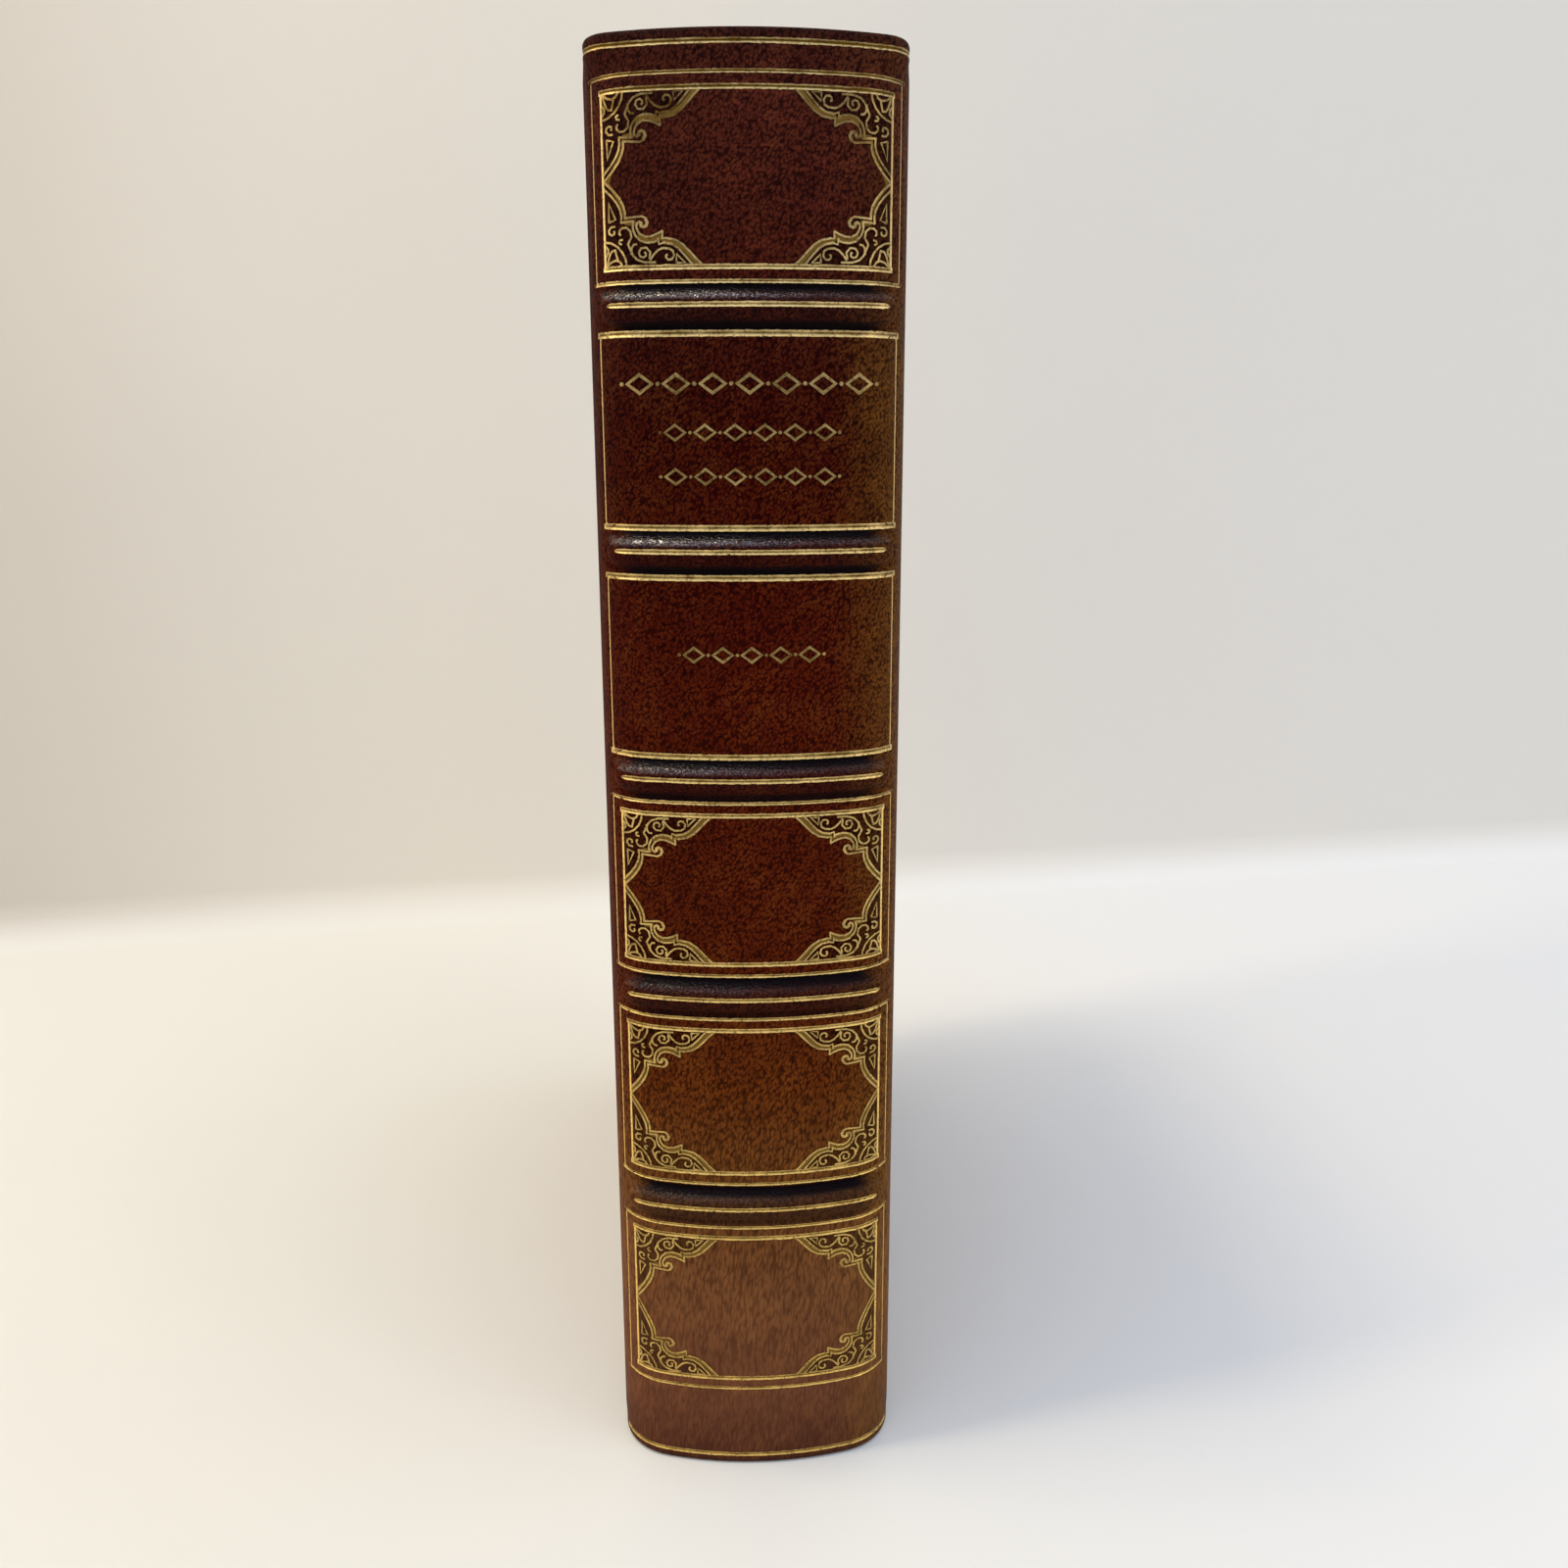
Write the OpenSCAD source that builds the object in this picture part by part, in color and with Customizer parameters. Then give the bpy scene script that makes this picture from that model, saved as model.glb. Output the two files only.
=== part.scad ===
// Hand-bound octavo in full leather, standing on its tail with the spine towards -Y.
// The text block is rounded and backed, and its spine carries five raised bands under the leather.
// The spine is tooled in gold: lines on the bands and caps, frames in the six compartments,
// and scroll corner pieces in four of them.
// +X is the front cover's side, +Y the fore edge, +Z the head. The origin is under the middle.

/* [Book] */
// Height of the boards and the spine
book_h = 240; // [200:1:280]
// Depth from the top of the raised bands to the fore edge of the boards
book_d = 166; // [140:1:190]

/* [Spine] */
// Radius of the middle of the back, seen from the head. With the shoulders it sets the thickness
back_r = 60; // [56:1:64]
// Radius of the shoulders, where the back turns into the boards
shoulder_r = 11; // [9:0.5:12]
// Thickness of the leather
leather_t = 0.8; // [0.6:0.1:1]
// Thickness of the cloth and paper that line the back of the pages
lining_t = 0.9; // [0.7:0.1:1.1]
// Height of the rolled leather cap over each endband
cap_t = 1.1; // [0.9:0.1:1.3]

/* [Raised bands] */
// Height of a band above the leather beside it
band_proud = 1.9; // [1.5:0.1:2.2]
// Radius of the band's rounded section, leather included
band_r = 2.7; // [2.4:0.1:2.9]

/* [Boards] */
// Thickness of the millboard
board_t = 3; // [2.5:0.1:3.2]
// Width of the leather turned in over the board's edges
turn_in = 14; // [8:1:20]
// Rounding of the leather along the board's edges
edge_r = 1.1; // [0.6:0.1:1.3]
// Gap that lets a cover swing clear of the spine
joint_gap = 0.3; // [0.3:0.05:0.5]

/* [Pages] */
// How far the boards stand beyond the pages at head, tail and fore edge
square_w = 3.5; // [3:0.5:5]
// Thickness of an endpaper leaf, and of the paper pasted on a board
paper_t = 0.3; // [0.25:0.05:0.35]
// Depth of the hollow in the fore edge
fore_hollow = 5.5; // [3:0.5:7]
// Height of the silk endbands
endband_h = 2.2; // [1.6:0.1:2.3]

/* [Gold tooling] */
// Thickness at which the gold is drawn
gold_t = 0.12; // [0.08:0.02:0.2]
// Width of the lines across the back
line_w = 0.75; // [0.5:0.05:1]
// Width of the double fillet at the head and foot of the two titled compartments
title_line_w = 0.95; // [0.7:0.05:1.1]
// Width of the lines along the joints
side_line_w = 0.55; // [0.3:0.05:0.7]
// Half the width of the outer frames
frame_half = 23.3; // [22.5:0.1:23.5]
// Step up the book from an outer frame to the frame inside it
frame_step = 2.05; // [1.8:0.05:2.4]
// The same step across the book
frame_step_x = 1.6; // [1.4:0.05:1.8]
// How far in from the others the sides of the titled compartments' frames are
title_inset = 0.3; // [0:0.05:0.5]
// Width of the fine lines of the corner pieces
scroll_w = 0.28; // [0.22:0.02:0.34]
// Film of egg-white size under the gold on the bands
size_t = 0.02; // [0.01:0.01:0.04]

/* [Hidden] */
// Heights of the six frames, from the head down: [bottom, top] as parts of 240
FRAMES = [for (f = [[205.3, 234], [169, 197.9], [132.6, 161.3], [95.1, 124.9], [56.6, 87.3], [15.9, 48.15]])
  f * book_h / 240];
BANDS = [for (i = [0 : 4]) (FRAMES[i][0] + FRAMES[i + 1][1]) / 2];
CAP_LINES = [2, book_h - 2];
// The compartments with scroll corners
SCROLLED = [1, 4, 5, 6];
// Those with a plain frame round rows of lozenges, as [compartment, [height, count, pitch], ...]
TITLED = [[2, [190.6, 7, 5.6], [183.4, 6, 4.6], [176.8, 6, 4.6]], [3, [149.2, 5, 4.6]]];

// Directions out from the arcs' centres: where they meet, along the shoulder, and at the joint.
// Whole-number triangles give them short decimals, so that the arcs meet exactly.
ARC_SEAM = [7, -24] / 25;
BAND_END = [3, -4] / 5;
SHOULDER = [4, -3] / 5;
LINE_END = [24, -7] / 25;
JOINT = [1, 0];

back_y = band_proud - book_d / 2;
fore_y = book_d / 2;
back_centre = [0, back_y + back_r];
shoulder_centre = back_centre + (back_r - shoulder_r) * ARC_SEAM;
shoulder_y = shoulder_centre[1];
outer_x = shoulder_centre[0] + shoulder_r;
pages_inset = leather_t + lining_t;
pages_bottom = square_w;
pages_top = book_h - square_w;
pages_fore_y = fore_y - square_w;
board_inner = outer_x - leather_t - board_t;
cover_inner = board_inner - paper_t;
leaf_outer = cover_inner - joint_gap;
pages_half = leaf_outer - paper_t;
joint_y = shoulder_y + joint_gap;
band_centre = band_proud - band_r;
strip_r = band_r - leather_t;
groove_w = line_w + 0.3;
groove_d = 0.25;
inner_half = frame_half - frame_step_x;
title_half = frame_half - title_inset;
endband_w = 2.3;
cap_depth = pages_inset + endband_w + 0.2;
tape_t = 0.35;
tape_w = 12;
// Leather pared thin, where it is turned round the board's edge into the joint
pared_t = 0.4;
// The turned edge of the leather at head and tail, seen in section
fold_r = 1;
FINE = 96;
eps = 0.01;

// The back is three arcs that run into each other. A section is drawn with x out of the leather
// and y up the book, and is carried round the arcs as far as the last direction in the list.
module round_the_back(directions = [SHOULDER, JOINT]) {
  arc(back_centre, back_r, [[-ARC_SEAM[0], ARC_SEAM[1]], ARC_SEAM]) children();
  for (side = [0, 1])
    mirror([side, 0, 0])
      arc(shoulder_centre, shoulder_r, concat([ARC_SEAM], directions)) children();
}

// The part of a ring that lies between the first and the last of some directions
module arc(centre, r, directions) {
  intersection() {
    translate([centre[0], centre[1], 0])
      rotate_extrude($fn = r > 2 * shoulder_r ? 3 * FINE : FINE)
        translate([r, 0])
          children();
    translate([0, 0, -1])
      linear_extrude(height = book_h + 2)
        polygon(concat([centre], [for (d = directions) centre + (r + 10) * d]));
  }
}

module section_box(u0, u1, z0, z1) {
  translate([u0, z0])
    square([u1 - u0, z1 - z0]);
}

// Pages: folded sections sewn together, rounded and backed so that the shoulders hold the boards
module text_block() {
  color("ivory")
    difference() {
      union() {
        pages_back();
        translate([-pages_half, shoulder_y - 1, pages_bottom])
          cube([2 * pages_half, pages_fore_y - shoulder_y + 1, pages_top - pages_bottom]);
      }
      fore_edge_hollow();
    }
}

// The rounded back is filled in to the centres of its arcs
module pages_back() {
  arc(back_centre, back_r, [[-ARC_SEAM[0], ARC_SEAM[1]], ARC_SEAM])
    section_box(-back_r, -pages_inset, pages_bottom, pages_top);
  for (side = [0, 1])
    mirror([side, 0, 0])
      arc(shoulder_centre, shoulder_r, [ARC_SEAM, SHOULDER, JOINT])
        section_box(-shoulder_r, -pages_inset, pages_bottom, pages_top);
}

module fore_edge_hollow() {
  hollow_r = (pages_half * pages_half + fore_hollow * fore_hollow) / (2 * fore_hollow);
  translate([0, pages_fore_y - fore_hollow + hollow_r, pages_bottom - 1])
    cylinder(r = hollow_r, h = pages_top - pages_bottom + 2, $fn = 2 * FINE);
}

// Five linen tapes that the sections are sewn round, one under each raised band
module sewing_tapes() {
  color("wheat")
    for (z = BANDS)
      round_the_back([SHOULDER, LINE_END])
        section_box(-pages_inset, -pages_inset + tape_t, z - tape_w / 2, z + tape_w / 2);
}

module spine_lining() {
  color("tan")
    difference() {
      round_the_back() section_box(-pages_inset, -leather_t, pages_bottom, pages_top);
      sewing_tapes();
    }
}

module flyleaf() {
  translate([pages_half, shoulder_y, pages_bottom])
    cube([paper_t, pages_fore_y - shoulder_y, pages_top - pages_bottom]);
}

module front_flyleaf() {
  color("antiquewhite") flyleaf();
}

module back_flyleaf() {
  color("antiquewhite") mirror([1, 0, 0]) flyleaf();
}

// A cord core worked over in silk, standing on the pages behind the cap
module endband() {
  core_r = 1.3;
  round_the_back([SHOULDER, LINE_END])
    intersection() {
      translate([-pages_inset - endband_w / 2, endband_h - core_r])
        circle(r = core_r, $fn = FINE / 2);
      section_box(-pages_inset - endband_w, -pages_inset, 0, 2 * endband_h);
    }
}

module head_endband() {
  color("darkred") translate([0, 0, pages_top]) endband();
}

module tail_endband() {
  color("darkred") translate([0, 0, book_h]) mirror([0, 0, 1]) head_endband();
}

// The strip glued across the lining, over which the leather is moulded
module band_strip(z) {
  round_the_back([BAND_END])
    intersection() {
      translate([band_centre, z])
        circle(r = strip_r, $fn = FINE / 2);
      section_box(-leather_t, band_proud, z - band_r, z + band_r);
    }
}

module raised_band(i) {
  color("peru") band_strip(BANDS[i - 1]);
}

// The band as it shows: the strip and the leather over it, with a groove for the gold line
module band_section(z) {
  difference() {
    intersection() {
      translate([band_centre, z])
        circle(r = band_r, $fn = FINE / 2);
      section_box(-leather_t / 2, band_proud + 1, z - band_r, z + band_r);
    }
    section_box(band_proud - groove_d, band_proud + 1, z - groove_w / 2, z + groove_w / 2);
  }
}

// A band's rounded end: half its section turned about a line straight out of the leather
module band_end(z) {
  for (side = [0, 1])
    mirror([side, 0, 0])
      translate([shoulder_centre[0], shoulder_centre[1], z])
        rotate([0, 0, atan2(BAND_END[1], BAND_END[0])])
          translate([shoulder_r, 0, 0])
            rotate([0, 90, 0])
              rotate_extrude($fn = FINE / 2)
                intersection() {
                  translate([0, band_centre])
                    circle(r = band_r, $fn = FINE / 2);
                  translate([0, -leather_t / 2])
                    square([band_r, leather_t / 2 + band_proud - groove_d]);
                }
}

// The leather's own section, turned over at head and tail into a cap above the endband
module leather_section() {
  section_box(-leather_t, 0, fold_r, book_h - fold_r);
  for (end = [0, 1])
    translate([0, end * book_h])
      mirror([0, end]) {
        section_box(-cap_depth, -fold_r, 0, cap_t);
        translate([-fold_r, fold_r])
          circle(r = fold_r, $fn = FINE / 2);
        section_box(-pages_inset, -leather_t / 2, fold_r, square_w);
      }
}

module spine_leather() {
  color("saddlebrown")
    difference() {
      union() {
        round_the_back() leather_section();
        for (z = BANDS) {
          round_the_back([BAND_END]) band_section(z);
          band_end(z);
        }
      }
      for (z = BANDS)
        band_strip(z);
    }
}

module gilt_cap_lines() {
  color("gold")
    for (z = CAP_LINES)
      round_the_back([SHOULDER, LINE_END]) section_box(0, gold_t, z - line_w / 2, z + line_w / 2);
}

module gilt_band_lines() {
  color("gold")
    for (z = BANDS)
      round_the_back([BAND_END])
        translate([band_proud - groove_d + size_t, z - line_w / 2])
          square([gold_t, line_w]);
}

// Gold follows the back: a flat pattern in X and Z is carried straight in onto the leather
module on_the_back(z0, z1) {
  intersection() {
    translate([0, shoulder_y, 0])
      rotate([90, 0, 0])
        linear_extrude(height = shoulder_y - back_y + 1)
          children();
    round_the_back([SHOULDER, LINE_END]) section_box(0, gold_t, z0 - 1, z1 + 1);
  }
}

module frame_lines(half, z0, z1, across_w, side_w) {
  difference() {
    translate([-half - side_w / 2, z0 - across_w / 2])
      square([2 * half + side_w, z1 - z0 + across_w]);
    translate([-half + side_w / 2, z0 + across_w / 2])
      square([2 * half - side_w, z1 - z0 - across_w]);
  }
}

// Points along a cubic curve, and along a spiral from angle a0 and radius r0 to a1 and r1
function curve(a, b, c, d, steps = 5) =
  [for (i = [0 : steps]) let (t = i / steps, s = 1 - t)
    s * s * s * a + 3 * s * s * t * b + 3 * s * t * t * c + t * t * t * d];

function spiral(centre, r0, r1, a0, a1, steps = 8) =
  [for (i = [0 : steps]) let (t = i / steps, r = r0 + (r1 - r0) * t, a = a0 + (a1 - a0) * t)
    centre + r * [cos(a), sin(a)]];

// The line's direction at a point, and the line itself as a ribbon of width w
function heading(p, i) =
  let (a = p[max(i - 1, 0)], b = p[min(i + 1, len(p) - 1)], d = b - a) d / norm(d);

function beside(p, w) =
  [for (i = [0 : len(p) - 1]) let (d = heading(p, i)) p[i] + w / 2 * [-d[1], d[0]]];

module stroke(p, w = scroll_w) {
  back = beside(p, -w);
  polygon(concat(beside(p, w), [for (i = [len(back) - 1 : -1 : 0]) back[i]]));
}

// One corner piece. x runs in from the frame's corner along its long side, y along its short side.
// Two lines bound it, with a cusp and a curl on the way, and scrolls fill it.
module corner_piece(reach) {
  field_line(reach);
  inner_line(reach);
  corner_leaf();
  scrolls();
}

module field_line(reach) {
  stroke(curve([15.1, 0], [13.1, 1.5], [12.1, 4.1], [9.5, 4.05]));
  stroke([[9.6, 4.1], [8.9, 4], [8.95, 5.1]]);
  stroke(curve([9, 5.1], [8.1, 4.6], [6.6, 3.8], [5.6, 4.7], 4));
  stroke(curve([5.6, 4.7], [4.9, 5.4], [4.8, 6.3], [5.6, 6.55], 4));
  stroke(spiral([6.05, 6.2], 0.75, 0.25, 60, -230, 6), 0.45);
  stroke([[6.7, 6.3], [6.5, 6.9], [5.9, 7.2], [3.3, 7]]);
  stroke(curve([3.35, 6.9], [3.6, 8.3], [3, 10], [0.2, reach]));
}

module inner_line(reach) {
  stroke(curve([13.7, 0], [12.2, 1.3], [11.3, 3.5], [9.1, 3.45]));
  stroke([[9.3, 3.5], [8.4, 3.2], [8.3, 4.1]]);
  stroke(curve([8.4, 3.8], [7.5, 3.4], [5.7, 3.1], [4.9, 4.5], 4));
  stroke(curve([4.9, 4.5], [4.5, 5.2], [4.4, 5.8], [4.6, 6.5], 3));
  stroke([[4.7, 6.55], [2.7, 6.4]]);
  stroke(curve([2.75, 6.35], [3.1, 7.9], [2.4, 9.4], [0.2, reach - 1]));
}

module corner_leaf() {
  stroke(curve([3.5, 0], [3.5, 2], [2, 3.8], [0, 3.9]));
  stroke(curve([0.3, 0.3], [1.2, 1.4], [2.5, 1.6], [2.9, 0.1], 4));
  stroke(curve([0.3, 0.3], [0.7, 1.6], [0.9, 2.8], [1.7, 2.6], 4));
  stroke([[1.7, 2.7], [2.1, 1.1]]);
  stroke(curve([0.2, 1.8], [0.8, 2.4], [0.8, 2.8], [0.2, 3.3], 3));
}

module scrolls() {
  stroke(curve([7.9, 0.7], [4.3, 0.4], [4.4, 2], [3.7, 3.4]));
  stroke(spiral([2.95, 4.8], 1.6, 0.35, -60, 210, 7));
  stroke(curve([4.2, 1.9], [4.1, 3.2], [4.6, 3.4], [5.1, 3.3], 3));
  stroke(spiral([6.05, 1.95], 1.15, 0.25, -40, 420, 9));
  stroke(curve([7, 1], [7.7, 2.1], [8.6, 3], [9.7, 2.6], 4));
  stroke(spiral([9.8, 1.6], 1.05, 0.25, 90, -230, 7));
  stroke(spiral([1.4, 5.2], 0.85, 0.2, 60, 400, 7));
  stroke(spiral([2.7, 3.6], 0.5, 0.15, 60, 300, 4));
  stroke([[10.95, 0.6], [12.3, 0.55], [11, 1.8], [10.95, 0.6]]);
  stroke([[0.85, 6.6], [1.9, 6.9], [0.9, 9.3], [0.85, 6.6]]);
}

module corner_pieces(half, z0, z1) {
  middle = (z0 + z1) / 2;
  reach = (z1 - z0) / 2;
  for (side = [0, 1], end = [0, 1])
    translate([0, middle])
      mirror([0, end])
        mirror([side, 0])
          translate([half, -reach])
            mirror([1, 0])
              corner_piece(reach);
}

// The field inside a frame's lines, which the corner pieces just reach
module inside_lines(half, z0, z1, across_w, side_w) {
  translate([-half + side_w / 2 + eps, z0 + across_w / 2 + eps])
    square([2 * half - side_w - 2 * eps, z1 - z0 - across_w - 2 * eps]);
}

// A row of open lozenges between dots. The pitch sets its size
module lozenge_row(z, count, pitch) {
  end = count * pitch / 2;
  for (x = [pitch / 2 - end : pitch : end])
    translate([x, z])
      difference() {
        lozenge(0.4 * pitch, 0.3 * pitch);
        lozenge(0.28 * pitch, 0.19 * pitch);
      }
  for (x = [-end : pitch : end + eps])
    translate([x, z])
      circle(r = 0.06 * pitch, $fn = 8);
}

module lozenge(a, b) {
  polygon([[-a, 0], [0, -b], [a, 0], [0, b]]);
}

function is_scrolled(i) = len(search(i, SCROLLED)) > 0;

module gilt_frame(i) {
  z0 = FRAMES[i - 1][0];
  z1 = FRAMES[i - 1][1];
  color("gold")
    on_the_back(z0, z1)
      if (is_scrolled(i)) {
        frame_lines(frame_half, z0, z1, side_line_w, side_line_w);
        frame_lines(inner_half, z0 + frame_step, z1 - frame_step, line_w, side_line_w);
      } else
        frame_lines(title_half, z0, z1, title_line_w, side_line_w);
}

module gilt_corners(i) {
  z0 = FRAMES[i - 1][0] + frame_step;
  z1 = FRAMES[i - 1][1] - frame_step;
  color("gold")
    on_the_back(z0, z1)
      offset(delta = eps)
        intersection() {
          corner_pieces(inner_half, z0, z1);
          inside_lines(inner_half, z0 + eps, z1 - eps, line_w, side_line_w);
        }
}

module gilt_lozenges(title) {
  i = title[0];
  color("gold")
    on_the_back(FRAMES[i - 1][0], FRAMES[i - 1][1])
      for (k = [1 : len(title) - 1])
        lozenge_row(title[k][0] * book_h / 240, title[k][1], title[k][2]);
}

// The cover's plate: rounded at head, tail and fore edge, square at the joint
module cover_plate() {
  intersection() {
    translate([0, fore_y, 0])
      rotate([90, 0, 0])
        linear_extrude(height = fore_y - joint_y)
          plate_section(outer_x - cover_inner, book_h);
    translate([0, joint_y, 0])
      linear_extrude(height = book_h)
        plate_profile(outer_x - cover_inner, fore_y - joint_y);
  }
}

module plate_section(width, height) {
  translate([cover_inner, edge_r])
    square([width, height - 2 * edge_r]);
  for (x = [cover_inner + edge_r, outer_x - edge_r], z = [edge_r, height - edge_r])
    translate([x, z])
      circle(r = edge_r, $fn = FINE / 2);
  translate([cover_inner + edge_r, 0])
    square([width - 2 * edge_r, height]);
}

module plate_profile(width, depth) {
  translate([cover_inner, 0])
    square([width, depth - edge_r]);
  for (x = [cover_inner + edge_r, outer_x - edge_r])
    translate([x, depth - edge_r])
      circle(r = edge_r, $fn = FINE / 2);
  translate([cover_inner + edge_r, 0])
    square([width - 2 * edge_r, depth]);
}

module board() {
  translate([board_inner, joint_y + pared_t, leather_t])
    cube([board_t, fore_y - leather_t - joint_y - pared_t, book_h - 2 * leather_t]);
}

module pastedown() {
  translate([cover_inner, joint_y, turn_in])
    cube([paper_t, fore_y - turn_in - joint_y, book_h - 2 * turn_in]);
}

// Leather over the board's outside and edges, turned in all round the inside
module cover_leather() {
  difference() {
    cover_plate();
    board();
    pastedown();
  }
}

module front_board() {
  color("dimgray") board();
}

module back_board() {
  color("dimgray") mirror([1, 0, 0]) board();
}

module front_cover_leather() {
  color("saddlebrown") cover_leather();
}

module back_cover_leather() {
  color("saddlebrown") mirror([1, 0, 0]) cover_leather();
}

module front_pastedown() {
  color("antiquewhite") pastedown();
}

module back_pastedown() {
  color("antiquewhite") mirror([1, 0, 0]) pastedown();
}

text_block();
sewing_tapes();
spine_lining();
front_flyleaf();
back_flyleaf();
head_endband();
tail_endband();
for (i = [1 : 5])
  raised_band(i);
spine_leather();
gilt_cap_lines();
gilt_band_lines();
for (i = [1 : 6])
  gilt_frame(i);
for (i = SCROLLED)
  gilt_corners(i);
for (title = TITLED)
  gilt_lozenges(title);
front_board();
front_cover_leather();
front_pastedown();
back_board();
back_cover_leather();
back_pastedown();
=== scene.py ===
# A leather-bound octavo standing on its tail, its tooled spine towards the camera.
# The sections go from the outside in: camera, table and light, the spine's leather and its gold, then
# pages, linings, endbands and covers, and last the joints.
import math

import bmesh
import bpy
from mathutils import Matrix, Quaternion, Vector, noise


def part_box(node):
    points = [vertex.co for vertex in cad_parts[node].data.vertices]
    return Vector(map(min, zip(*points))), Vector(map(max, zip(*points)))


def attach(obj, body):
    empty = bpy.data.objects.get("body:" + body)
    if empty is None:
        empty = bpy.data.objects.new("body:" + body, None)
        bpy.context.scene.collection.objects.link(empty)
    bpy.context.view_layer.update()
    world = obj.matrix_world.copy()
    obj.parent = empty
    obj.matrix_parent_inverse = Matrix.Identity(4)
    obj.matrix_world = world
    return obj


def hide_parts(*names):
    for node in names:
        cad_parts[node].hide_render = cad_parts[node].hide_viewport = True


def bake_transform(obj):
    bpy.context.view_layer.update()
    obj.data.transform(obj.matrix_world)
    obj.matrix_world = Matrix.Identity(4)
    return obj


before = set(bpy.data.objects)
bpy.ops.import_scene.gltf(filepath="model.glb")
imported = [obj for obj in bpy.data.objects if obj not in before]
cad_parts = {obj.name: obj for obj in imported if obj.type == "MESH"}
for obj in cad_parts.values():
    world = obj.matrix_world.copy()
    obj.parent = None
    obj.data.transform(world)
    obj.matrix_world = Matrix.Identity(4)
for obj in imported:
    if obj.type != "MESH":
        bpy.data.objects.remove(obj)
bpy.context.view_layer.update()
MM = 0.001

# CAMERA
# A phone held a hand's breadth above the middle of the spine and tilted down a little.
# The lens, place and tilt were worked out from the frame lines on the spine.
camera_at = Vector((-2.5 * MM, -304.4 * MM, 183.3 * MM))
tilt_down = math.radians(13.856)
turned_right = math.radians(1.932)
roll = math.radians(-0.135)
looking = Vector((
    math.sin(turned_right) * math.cos(tilt_down),
    math.cos(turned_right) * math.cos(tilt_down),
    -math.sin(tilt_down),
))
camera = bpy.data.objects.new("camera", bpy.data.cameras.new("camera"))
bpy.context.scene.collection.objects.link(camera)
bpy.context.scene.camera = camera
camera.data.sensor_width = 36
camera.data.lens = 32.66
camera.data.clip_start = 10 * MM
camera.location = camera_at
camera.rotation_mode = "QUATERNION"
camera.rotation_quaternion = looking.to_track_quat("-Z", "Y") @ Quaternion((0, 0, 1), roll)
bpy.context.scene.view_settings.view_transform = "Standard"

# TABLE AND WALL
# A white table that runs up into a plain wall behind it, a little out of square with the book.
# Both are painted matt, so they show no gloss, and the wall is the greyer of the two. Painted light
# lies in their colour: warmer on the left and cooler on the right, and painted shade greys the wall on
# the left.


def paint(code):
    """A colour as Blender takes it, from its sRGB hex code"""
    parts = [int(code[i:i + 2], 16) / 255 for i in (1, 3, 5)]
    return [*(c / 12.92 if c <= 0.04045 else ((c + 0.055) / 1.055) ** 2.4 for c in parts), 1]


def add(material, kind, inputs=(), **settings):
    """One more node in a material, with its inputs set to values or linked to other nodes"""
    tree = material.node_tree
    made = tree.nodes.new("ShaderNode" + kind)
    for name, value in settings.items():
        setattr(made, name, value)
    for name, value in dict(inputs).items():
        if isinstance(value, bpy.types.NodeSocket):
            tree.links.new(value, made.inputs[name])
        else:
            made.inputs[name].default_value = value
    return made


def new_material(name):
    material = bpy.data.materials.new(name)
    material.use_nodes = True
    material.node_tree.nodes.clear()
    return material


def show(material, shader):
    add(material, "OutputMaterial", {"Surface": shader.outputs[0]})


def to_object(name, bm):
    """The bmesh as an object in the scene, with smooth faces"""
    mesh = bpy.data.meshes.new(name)
    bm.to_mesh(mesh)
    bm.free()
    made = bpy.data.objects.new(name, mesh)
    bpy.context.scene.collection.objects.link(made)
    mesh.shade_smooth()
    return made


table_reach = 4.0
table_end_y = 0.247
wall_h = 2.5
cove_r = 0.015
wall_turn = math.radians(8.4)

bm = bmesh.new()
near = [bm.verts.new((x, -table_reach, 0)) for x in (-table_reach, table_reach)]
table = bmesh.ops.extrude_edge_only(bm, edges=[bm.edges.new(near)])["geom"]
far = [v for v in table if isinstance(v, bmesh.types.BMVert)]
bmesh.ops.translate(bm, verts=far, vec=(0, table_reach - cove_r, 0))
far_edge = [e for e in table if isinstance(e, bmesh.types.BMEdge) and set(e.verts) == set(far)]
cove = bmesh.ops.spin(bm, geom=far_edge, cent=(0, -cove_r, cove_r), axis=(1, 0, 0),
                      angle=math.pi / 2, steps=16)["geom_last"]
wall = bmesh.ops.extrude_edge_only(bm, edges=[e for e in cove if isinstance(e, bmesh.types.BMEdge)])
bmesh.ops.translate(bm, verts=[v for v in wall["geom"] if isinstance(v, bmesh.types.BMVert)],
                    vec=(0, 0, wall_h))
bmesh.ops.rotate(bm, verts=bm.verts, cent=(0, 0, 0),
                 matrix=Quaternion((0, 0, 1), wall_turn).to_matrix())
bmesh.ops.translate(bm, verts=bm.verts, vec=(0, table_end_y, 0))
bmesh.ops.recalc_face_normals(bm, faces=bm.faces)
if sum(f.normal.z for f in bm.faces) < 0:
    bmesh.ops.reverse_faces(bm, faces=bm.faces)
backdrop = to_object("table_and_wall", bm)

painted = new_material("matt_white_paint")
spot = add(painted, "SeparateXYZ", {0: add(painted, "TexCoord").outputs["Object"]})
# Painted light: table and wall are warmer on the left and cooler on the right
rightward = add(painted, "MapRange", {"Value": spot.outputs["X"], "From Min": -0.12,
                                      "From Max": 0.16}, interpolation_type="SMOOTHSTEP")
table_colour = add(painted, "Mix", {0: rightward.outputs[0], 6: paint("#e8e5db"),
                                    7: paint("#ecebe8")}, data_type="RGBA")
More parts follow.
